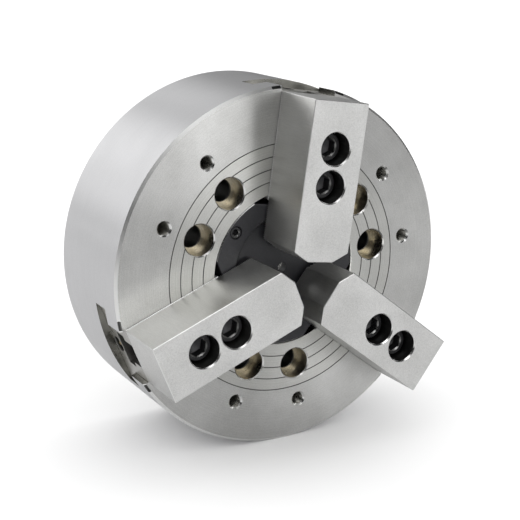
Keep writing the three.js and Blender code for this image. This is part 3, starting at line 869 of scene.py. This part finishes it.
# %% The draw nut, with its thread inside
THREAD_MOUTH = 52.2
inner_thread = thread_rows(50.2, 51.2, 2.0, DRAW_NUT_FRONT + 1, DRAW_NUT_REAR - 1, steps=180)
outer_side = lathe_rows([(THREAD_MOUTH, DRAW_NUT_REAR), (NUT_RADIUS, DRAW_NUT_REAR),
                         (NUT_RADIUS, DRAW_NUT_FRONT + 0.5), (NUT_RADIUS - 0.5, DRAW_NUT_FRONT),
                         (THREAD_MOUTH, DRAW_NUT_FRONT)], 180)
draw_nut = skin("threaded_nut", np.concatenate([inner_thread, outer_side]), loop=True)
notch = box_outline(-4, 4, DRAW_NUT_FRONT - BEYOND, DRAW_NUT_FRONT + 6, 1)
carve(draw_nut, [turn_to(milled("notch", notch, 45, 53.7, SECTION), quarter)
                 for quarter in QUARTERS])
paint(draw_nut, "hardened")
remember_place(draw_nut)
fit(draw_nut, "draw_nut", "hardened_steel", "draw_nut")

# %% The ring that keeps the nut in
RING_BORE = 52.5
ring_front, ring_rear = DRAW_NUT_REAR + GAP, -18
retainer = turned("nut_ring", eased([
    (RING_BORE, ring_front), (NUT_RADIUS, ring_front), (NUT_RADIUS, ring_rear, 0.5),
    (RING_BORE, ring_rear, 0.5)]), steps=180, loop=True)
notch = box_outline(-3, 3, ring_rear - 2.5, ring_rear + BEYOND)
carve(retainer, [turn_to(milled("slot", notch, 45, 62, SECTION), 45 + quarter)
                 for quarter in QUARTERS])
paint(retainer, "black")
fit(retainer, "plunger", "black_oxide", "nut_retainer")

# %% [markdown]
# ## Screws
#
# A cap screw is a knurled cylinder with a hexagon socket, on a threaded shank.
# Knurl and thread are both a radius that changes with angle and height, so one
# grid of points holds the whole screw and only the socket is cut.

# %% A cap screw
def cap_screw(name, head, head_length, shank, length, hexagon, socket_depth, pitch, steps=96):
    """A screw along Y with the top of its head at y = 0.

    The knurl is a triangle wave round the head. The shank is plain for 0.4 of its
    length and threaded after that.
    """
    turn = angles(steps)
    knurl = 0.03 * head * np.abs((turn * steps / 4 / np.pi) % 1 - 0.5)
    bevel = head * 0.1
    top = lathe_rows([(head * 0.6, 0), (head - bevel, 0), (head - bevel * 0.2, bevel * 0.7)], steps)
    side = lathe_rows([(head, bevel), (head, head_length - bevel * 0.4)], steps)
    out = side[..., [0, 2]] / head
    side[..., [0, 2]] -= out * knurl[None, :, None]
    plain_end, end = head_length + length * 0.4, head_length + length
    under = lathe_rows([(head - bevel, head_length), (shank, head_length), (shank, plain_end)], steps)
    thread = thread_rows(shank - 0.6 * pitch, shank, pitch, plain_end + 0.5, end - 1, steps)
    tip = lathe_rows([(shank - 0.7 * pitch, end)], steps)
    screw = skin(name, np.concatenate([top, side, under, thread, tip]))
    across = hexagon / math.sqrt(3)
    socket = turned("socket", [(across, -BEYOND), (across, socket_depth),
                               (across * 0.3, socket_depth + 2)], 6)
    mouth = turned("mouth", [(across + 1.3, -BEYOND), (across - 0.75, 1.05)], 48)
    carve(screw, [socket])
    carve(screw, [mouth])
    centre, normal, distance = face_facts(screw)
    # Painted highlight: the chamfer round the socket's mouth takes the lighter edge finish.
    highlight_lip = leaning(normal) & (distance < head * 0.8) & (centre[:, 1] < 1.2)
    return paint(screw, "screw", [("edge", highlight_lip)])


def copy_to(original, name, offset, angle=None):
    """Copy a mesh, shift it in millimetres, and turn it about the chuck's axis."""
    piece = bpy.data.objects.new(name, original.data.copy())
    bpy.context.scene.collection.objects.link(piece)
    points = coordinates(piece.data) + np.array(offset) * MM
    piece.data.vertices.foreach_set("co", points.ravel())
    if angle is not None:
        turn_to(piece, angle)
    return piece


# %% Cover screws
cover_screw = cap_screw("pattern", head=5, head_length=6, shank=3, length=27, hexagon=5,
                        socket_depth=3, pitch=1.0, steps=48)
for number, (x, z) in enumerate(screw_places, 1):
    screw = copy_to(cover_screw, f"flange_screw_{number}", (x, FRONT + 1.2, z))
    fit(screw, "chuck", "black_oxide", f"cover_screw_{number}")
bpy.data.objects.remove(cover_screw)

# %% Jaw bolts
BOLT_HEAD_LENGTH = 16
bolt = cap_screw("pattern", head=12, head_length=BOLT_HEAD_LENGTH, shank=7.9, length=45,
                 hexagon=14, socket_depth=9, pitch=2.0)
bolt_top = FRONT - BOLT_SEAT - GAP - BOLT_HEAD_LENGTH
for jaw, angle in enumerate(JAW_ANGLES, 1):
    for number, radius in enumerate(BOLT_RADII, 1):
        screw = copy_to(bolt, f"cap_screw_{jaw}_{number}", (radius, bolt_top, 0), angle)
        fit(screw, f"jaw_{jaw}", "black_oxide", f"jaw_bolt_{jaw}_{number}")
bpy.data.objects.remove(bolt)

# %% [markdown]
# ## The jaws
#
# A soft jaw is a plain milled block that the user bores to suit the work. Its
# underside and the top of the master jaw carry rows of teeth with the same
# pitch, so it can be set in steps of one tooth. The teeth are a zigzag outline
# carried across the jaw, which is cut out of both blocks. The valleys in the soft jaw
# are cut deeper, and their flanks get the dark bore finish as painted shade, so
# that a dark line shows between the two.


# %% Serrations
def zigzag(start, end, root, depth):
    """A tooth line: root at every multiple of the pitch and crest half-way between."""
    count = round((end - start) / TOOTH_PITCH)
    steps = np.arange(2 * count + 1)
    return np.stack([start + steps * TOOTH_PITCH / 2, root - depth * (steps % 2)], axis=1)


def comb(start, end, root, beyond, depth=TOOTH_DEPTH):
    """Everything on one side of the tooth line, as far as the height called beyond."""
    line = zigzag(start, end, root, depth)
    outline = [(start - 3, root), *line, (end + 3, root), (end + 3, beyond), (start - 3, beyond)]
    return milled("comb", outline, -NECK - 3, NECK + 3, SIDE)


# %% The soft jaw
def soft_jaw():
    """A block with a pointed tip, chamfered front edges, teeth below and two stepped holes."""
    top = FRONT - TOP_JAW_HEIGHT
    corners = [(TOP_JAW_START, -TIP_HALF), (TOP_JAW_START + TIP_LENGTH, -NECK), (JAW_END, -NECK),
               (JAW_END, NECK), (TOP_JAW_START + TIP_LENGTH, NECK), (TOP_JAW_START, TIP_HALF)]
    plan = eased([(*corner, JAW_CORNER) for corner in corners], 4)
    block = milled("soft jaw", plan, top, FRONT + 0.1, PLAN, chamfer=(EDGE, 0))
    valley = TOOTH_DEPTH + TOOTH_RELIEF
    carve(block, [comb(18, JAW_END, FRONT + TOOTH_ROOT - GAP, FRONT + 3, valley)])
    holes = []
    for radius in BOLT_RADII:
        outline = [(BOLT_COUNTERBORE + HOLE_CHAMFER + BEYOND, top - BEYOND),
                   (BOLT_COUNTERBORE, top + HOLE_CHAMFER), (BOLT_COUNTERBORE, FRONT - BOLT_SEAT),
                   (BOLT_HOLE, FRONT - BOLT_SEAT), (BOLT_HOLE, FRONT + 3)]
        holes.append(turned("hole", outline, 72, (radius, 0)))
    carve(block, holes)
    centre, normal, _ = face_facts(block)
    from_hole = np.min([np.hypot(centre[:, 0] - radius, centre[:, 2]) for radius in BOLT_RADII], axis=0)
    below = centre[:, 1] - top
    inside = (from_hole < BOLT_COUNTERBORE + 0.3) & (centre[:, 1] > top + HOLE_CHAMFER + 0.1)
    # Painted highlight: the counterbore mouths and the broken edges below take lighter copies of the
    # steel.
    mouth = (from_hole < BOLT_COUNTERBORE + HOLE_CHAMFER + 0.2) & (below < HOLE_CHAMFER)
    mouth &= below > 0.05
    side = (np.abs(normal[:, 1]) < 0.1) & (np.hypot(normal[:, 0], normal[:, 2]) > 0.9)
    broken = (below > 0.01) & (below < EDGE - 0.01) & (from_hole > BOLT_COUNTERBORE + 2)
    # Painted shade: the tooth flanks and the insides of the counterbores take the dark bore finish.
    flank = (centre[:, 1] > FRONT - TOOTH_DEPTH - TOOTH_RELIEF) & (np.abs(normal[:, 2]) < 0.1)
    flank &= np.abs(normal[:, 1]) > 0.1
    paint(block, "milled", [("side", side & (centre[:, 0] < JAW_END - 1)), ("chamfer", mouth),
                            ("painted highlight edge", broken), ("bore", inside | flank)])
    return remember_place(block)


def one_for_each_jaw(pattern, name, slot, node):
    """Copy a piece to all three jaws, and remove the drawing it was copied from."""
    for number, angle in enumerate(JAW_ANGLES, 1):
        piece = copy_to(pattern, f"{name}_{number}", (0, 0, 0), angle)
        fit(piece, f"jaw_{number}", slot, f"{node}_{number}")
    bpy.data.objects.remove(pattern)


one_for_each_jaw(soft_jaw(), "soft_jaw", "soft_jaw_steel", "top_jaw")


# %% The master jaw
CARRIER_END, CARRIER_REAR, CARRIER_HALF = 86, -20, 20
HOOK_FRONT, HOOK_REAR = -52, -24
RECESS_FLOOR = 137.5


def sliding_jaw():
    """A T-shaped guide with teeth, a slot for the nut, a nipple recess and the wedge hook."""
    neck, wing = NECK - SLIDING_FIT, WING - GAP
    wing_top, floor = FRONT + NECK_DEPTH + GAP, FRONT + WING_DEPTH - GAP
    right = [(neck - 2.6, FRONT - 1.5), (neck, FRONT + 0.3), (neck, wing_top, 0.3),
             (wing, wing_top, 0.6), (wing, floor, 0.6)]
    guide = milled("guide", eased(mirrored(right)), MASTER_START, JAW_END, SECTION,
                   chamfer=(EDGE, EDGE))
    overlap = floor - 5
    side = [(ramp(overlap) + GAP, overlap), (CARRIER_END, overlap),
            (CARRIER_END, CARRIER_REAR), (ramp(CARRIER_REAR) + GAP, CARRIER_REAR)]
    carrier = milled("carrier", side, -CARRIER_HALF, CARRIER_HALF, SIDE, chamfer=(EDGE, EDGE))
    carve(guide, [carrier], "UNION")
    stem = ramp_bar("stem", -LIP - 2 * GAP, 1, HOOK_FRONT, HOOK_REAR, STEM_HALF)
    carve(guide, [stem], "UNION")
    head = ramp_bar("head", -HOOK_SLOT_DEPTH + GAP, -LIP - GAP, HOOK_FRONT, HOOK_REAR, HOOK_HALF)
    carve(guide, [head], "UNION")
    shoulder, nut_floor = FRONT + NUT_SHOULDER, FRONT + NUT_FLOOR
    side = [(NUT_NECK + 0.5, FRONT - 3), (NUT_NECK, FRONT + 1), (NUT_NECK, shoulder),
            (NUT_HALF, shoulder), (NUT_HALF, nut_floor, 0.6)]
    carve(guide, [milled("nut slot", eased(mirrored(side)), NUT_SLOT_START, JAW_END + 2, SECTION)])
    carve(guide, [comb(MASTER_START, JAW_END, FRONT + TOOTH_ROOT, FRONT - 3)])
    turn = angles(40)
    rings_of_recess = ((RECESS_FLOOR, NIPPLE_RECESS), (JAW_END - 0.6, NIPPLE_RECESS),
                       (JAW_END + BEYOND, NIPPLE_RECESS + 1.6))
    recess = np.stack([np.stack([x + 0 * turn, NIPPLE_PLACE + r * np.cos(turn), r * np.sin(turn)],
                                axis=-1) for x, r in rings_of_recess])
    carve(guide, [skin("recess", recess)])
    centre, normal, _ = face_facts(guide)
    from_nipple = np.hypot(centre[:, 1] - NIPPLE_PLACE, centre[:, 2])
    in_recess = (centre[:, 0] > RECESS_FLOOR - 0.5) & (centre[:, 0] < JAW_END - 0.1)
    in_recess &= from_nipple < NIPPLE_RECESS + 1.5
    # Painted shade: the nipple recess and the tooth flanks take the dark bore finish.
    flank = (centre[:, 1] < FRONT + TOOTH_ROOT) & (np.abs(normal[:, 2]) < 0.1)
    # Painted highlight: the tooth ends take the lightest edge finish, so that they read as bright beads.
    tooth_end = (centre[:, 1] < FRONT + 2) & (np.abs(normal[:, 2]) > 0.5)
    tooth_end &= np.abs(centre[:, 2]) > NUT_HALF
    paint(guide, "hardened", [("bore", in_recess | flank), ("painted highlight edge", tooth_end)])
    return remember_place(guide)


one_for_each_jaw(sliding_jaw(), "sliding_jaw", "hardened_steel", "master_jaw")


# %% The T-nut
def t_nut():
    """A T outline carried along the slot, with two tapped holes."""
    neck, half = NUT_NECK - GAP, NUT_HALF - GAP
    shoulder = FRONT + NUT_SHOULDER + GAP
    side = [(neck, FRONT + 1.5, 0.5), (neck, shoulder), (half, shoulder, 0.5),
            (half, FRONT + NUT_FLOOR - GAP, 0.8)]
    nut = milled("nut", eased(mirrored(side)), NUT_START, NUT_END, SECTION, chamfer=(0.3, 0.3))
    holes = []
    for radius in BOLT_RADII:
        rows = thread_rows(8.2, 8.6, 2.0, FRONT, FRONT + 28, steps=48)
        holes.append(skin("thread", rows + np.array([radius, 0, 0])))
    carve(nut, holes)
    paint(nut, "screw")
    return nut


one_for_each_jaw(t_nut(), "t_nut", "black_oxide", "jaw_nut")


# %% The grease nipple
NIPPLE_HEXAGON = 3.1    # half the width across the flats
NIPPLE_START = RECESS_FLOOR + GAP


def nipple():
    """A hexagon base that becomes a ball end. The hexagon's radius is its half width over
    the cosine of the angle to the middle of the nearest flat."""
    turn = angles(48)
    to_flat = (turn + np.pi / 6) % (np.pi / 3) - np.pi / 6
    hexagon = NIPPLE_HEXAGON / np.cos(to_flat)
    profile = [(0, None), (2.4, None), (2.9, 2.2), (4.0, 1.9), (4.4, 2.3), (5.2, 2.75),
               (6.2, 2.5), (6.9, 1.4), (7.0, 0.6)]
    rows = []
    for out, radius in profile:
        reach = hexagon if radius is None else radius + 0 * turn
        rows.append(np.stack([NIPPLE_START + out + 0 * turn, NIPPLE_PLACE + reach * np.cos(turn),
                              reach * np.sin(turn)], axis=-1))
    piece = skin("nipple", np.array(rows))
    # Painted shade: the nipple gets a dark brass, for the shade of its recess.
    paint(piece, "brass")
    return piece


one_for_each_jaw(nipple(), "nipple", "nipple_brass", "grease_nipple")

# %% [markdown]
# ## Floor, light and camera
#
# The chuck stands on its rim on a white floor. Bright steel shows what is around
# it more than it shows itself, so the surroundings matter. The floor is lit by an
# even white room, but reflections see a dark room with eleven round soft panels.
# A studio does the same with flags and soft boxes that stay out of the frame.

# %% The floor
floor_mesh = bpy.data.meshes.new("floor")
reach = 6.0
floor_z = body_low.z
floor_mesh.from_pydata([(-reach, -reach, floor_z), (reach, -reach, floor_z), (reach, reach, floor_z),
                        (-reach, reach, floor_z)], [], [(0, 1, 2, 3)])
floor = bpy.data.objects.new("floor", floor_mesh)
bpy.context.scene.collection.objects.link(floor)
floor_paint = bpy.data.materials.new("pale floor")
floor_paint.use_nodes = True
floor_shader = floor_paint.node_tree.nodes["Principled BSDF"]
floor_shader.inputs["Roughness"].default_value = 0.6
floor_shader.inputs["Specular IOR Level"].default_value = 0.0
floor_path = add(floor_paint.node_tree, "ShaderNodeLightPath")
floor_tone = add(floor_paint.node_tree, "ShaderNodeMix", {"data_type": "RGBA"},
                 Factor=floor_path.outputs["Is Glossy Ray"])
floor_tone.inputs[6].default_value = (0.95, 0.95, 0.95, 1)
floor_tone.inputs[7].default_value = (0.6, 0.6, 0.6, 1)
floor_paint.node_tree.links.new(floor_tone.outputs[2], floor_shader.inputs["Base Color"])
floor.data.materials.append(floor_paint)

# %% The room's light
world = bpy.data.worlds.new("studio")
bpy.context.scene.world = world
world.use_nodes = True
sky = world.node_tree

panels, given, result = new_group(
    "light panel", [("Direction", VECTOR, None), ("Centre", VECTOR, None), ("Edge", FLOAT, 0.85),
                    ("Brightness", FLOAT, 1.0)], [("Light", FLOAT)])
toward = add(panels, "ShaderNodeVectorMath", {"operation": "DOT_PRODUCT"},
             i_0=given["Direction"], i_1=given["Centre"])
fade = add(panels, "ShaderNodeMapRange", {"interpolation_type": "SMOOTHSTEP"},
           Value=toward.outputs["Value"], From_Min=given["Edge"], To_Max=given["Brightness"])
panels.links.new(fade.outputs["Result"], result["Light"])

facing = add(sky, "ShaderNodeTexCoord").outputs["Generated"]


def panel(heading, elevation, brightness, reach=25):
    """A round soft panel far away. Heading 0 is in front of the jaws, and 90 is to their right."""
    turn, rise = math.radians(heading), math.radians(elevation)
    centre = (math.sin(turn) * math.cos(rise), -math.cos(turn) * math.cos(rise), math.sin(rise))
    return place_group(sky, panels, Direction=facing, Centre=centre, Edge=math.cos(math.radians(reach)),
                       Brightness=brightness)["Light"]


seen = [panel(0, 44, 3.2), panel(12, 4, 2.1), panel(-12, 24, 0.2), panel(36, 24, 0.45), panel(36, 4, 0.25),
        panel(-45, 64, 0.6), panel(-132, 4, 0.9), panel(-156, 24, 1.05), panel(-156, 4, 0.45),
        panel(180, 24, 0.9), panel(156, 24, 0.45)]
total = seen[0]
for light in seen[1:]:
    total = maths(sky, "ADD", total, light)
path = add(sky, "ShaderNodeLightPath")
ROOM_BRIGHTNESS = 1.3
strength = add(sky, "ShaderNodeMix", Factor=path.outputs["Is Glossy Ray"],
               i_2=ROOM_BRIGHTNESS, i_3=total)
sky.links.new(strength.outputs[0], sky.nodes["Background"].inputs["Strength"])
sky.nodes["Background"].inputs["Color"].default_value = (1, 1, 1, 1)

# %% The camera
camera_data = bpy.data.cameras.new("camera")
camera = bpy.data.objects.new("camera", camera_data)
bpy.context.scene.collection.objects.link(camera)
HEADING, ELEVATION, ROLL = math.radians(29.31), math.radians(15.355), math.radians(-0.33)
DISTANCE = 1.001
AIM = Vector((-0.0239, FRONT * MM, 0.0105))
looking = Vector((math.sin(HEADING) * math.cos(ELEVATION), math.cos(HEADING) * math.cos(ELEVATION),
                  -math.sin(ELEVATION)))
camera.location = AIM - looking * DISTANCE
camera.rotation_mode = "QUATERNION"
camera.rotation_quaternion = Quaternion(looking, ROLL) @ looking.to_track_quat("-Z", "Y")
LENS = 84.63
camera_data.lens = LENS
camera_data.sensor_width = 36
bpy.context.scene.camera = camera
bpy.context.scene.view_settings.view_transform = "Standard"
print("camera at", [round(value, 4) for value in camera.location])
